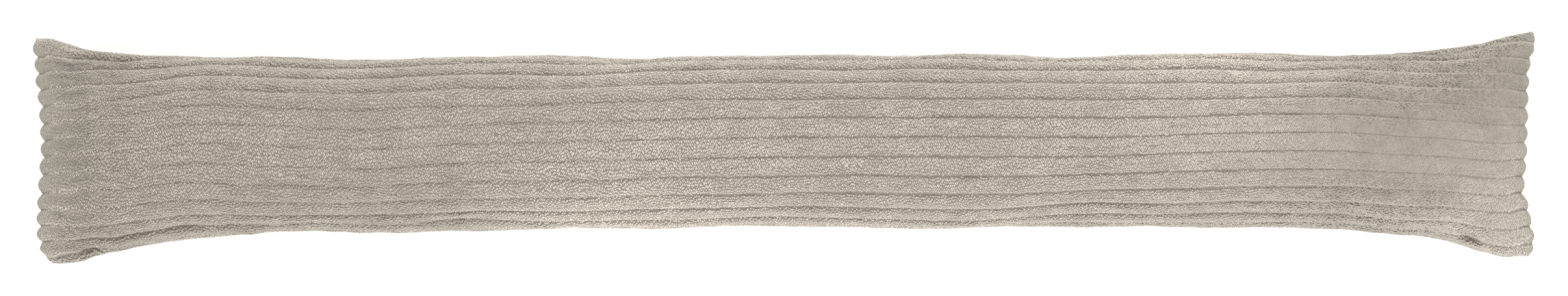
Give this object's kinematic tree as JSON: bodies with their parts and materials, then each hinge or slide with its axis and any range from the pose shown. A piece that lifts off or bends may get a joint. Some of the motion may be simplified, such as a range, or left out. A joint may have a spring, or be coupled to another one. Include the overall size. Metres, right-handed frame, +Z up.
{
  "type": "draught excluder",
  "caption": "Long stuffed draught excluder in wide-wale cord, with raised lengthwise ribs of pile all round, flat sewn ends wider than its round middle and scalloped end seams",
  "frame": {"origin": "on the floor under the middle of the bounding box", "axes": "+X along the cushion towards its right end in the picture, +Y to the rear edge (the top edge in the picture), +Z up out of the face, as it lies on its back"},
  "size_m": [0.8788, 0.1358, 0.0773],
  "materials": {
    "cord_pile": "matt short-pile wide-wale cord, warm stone beige"
  },
  "bodies": {
    "root": {"cushion": "cord_pile"}
  },
  "joints": []
}
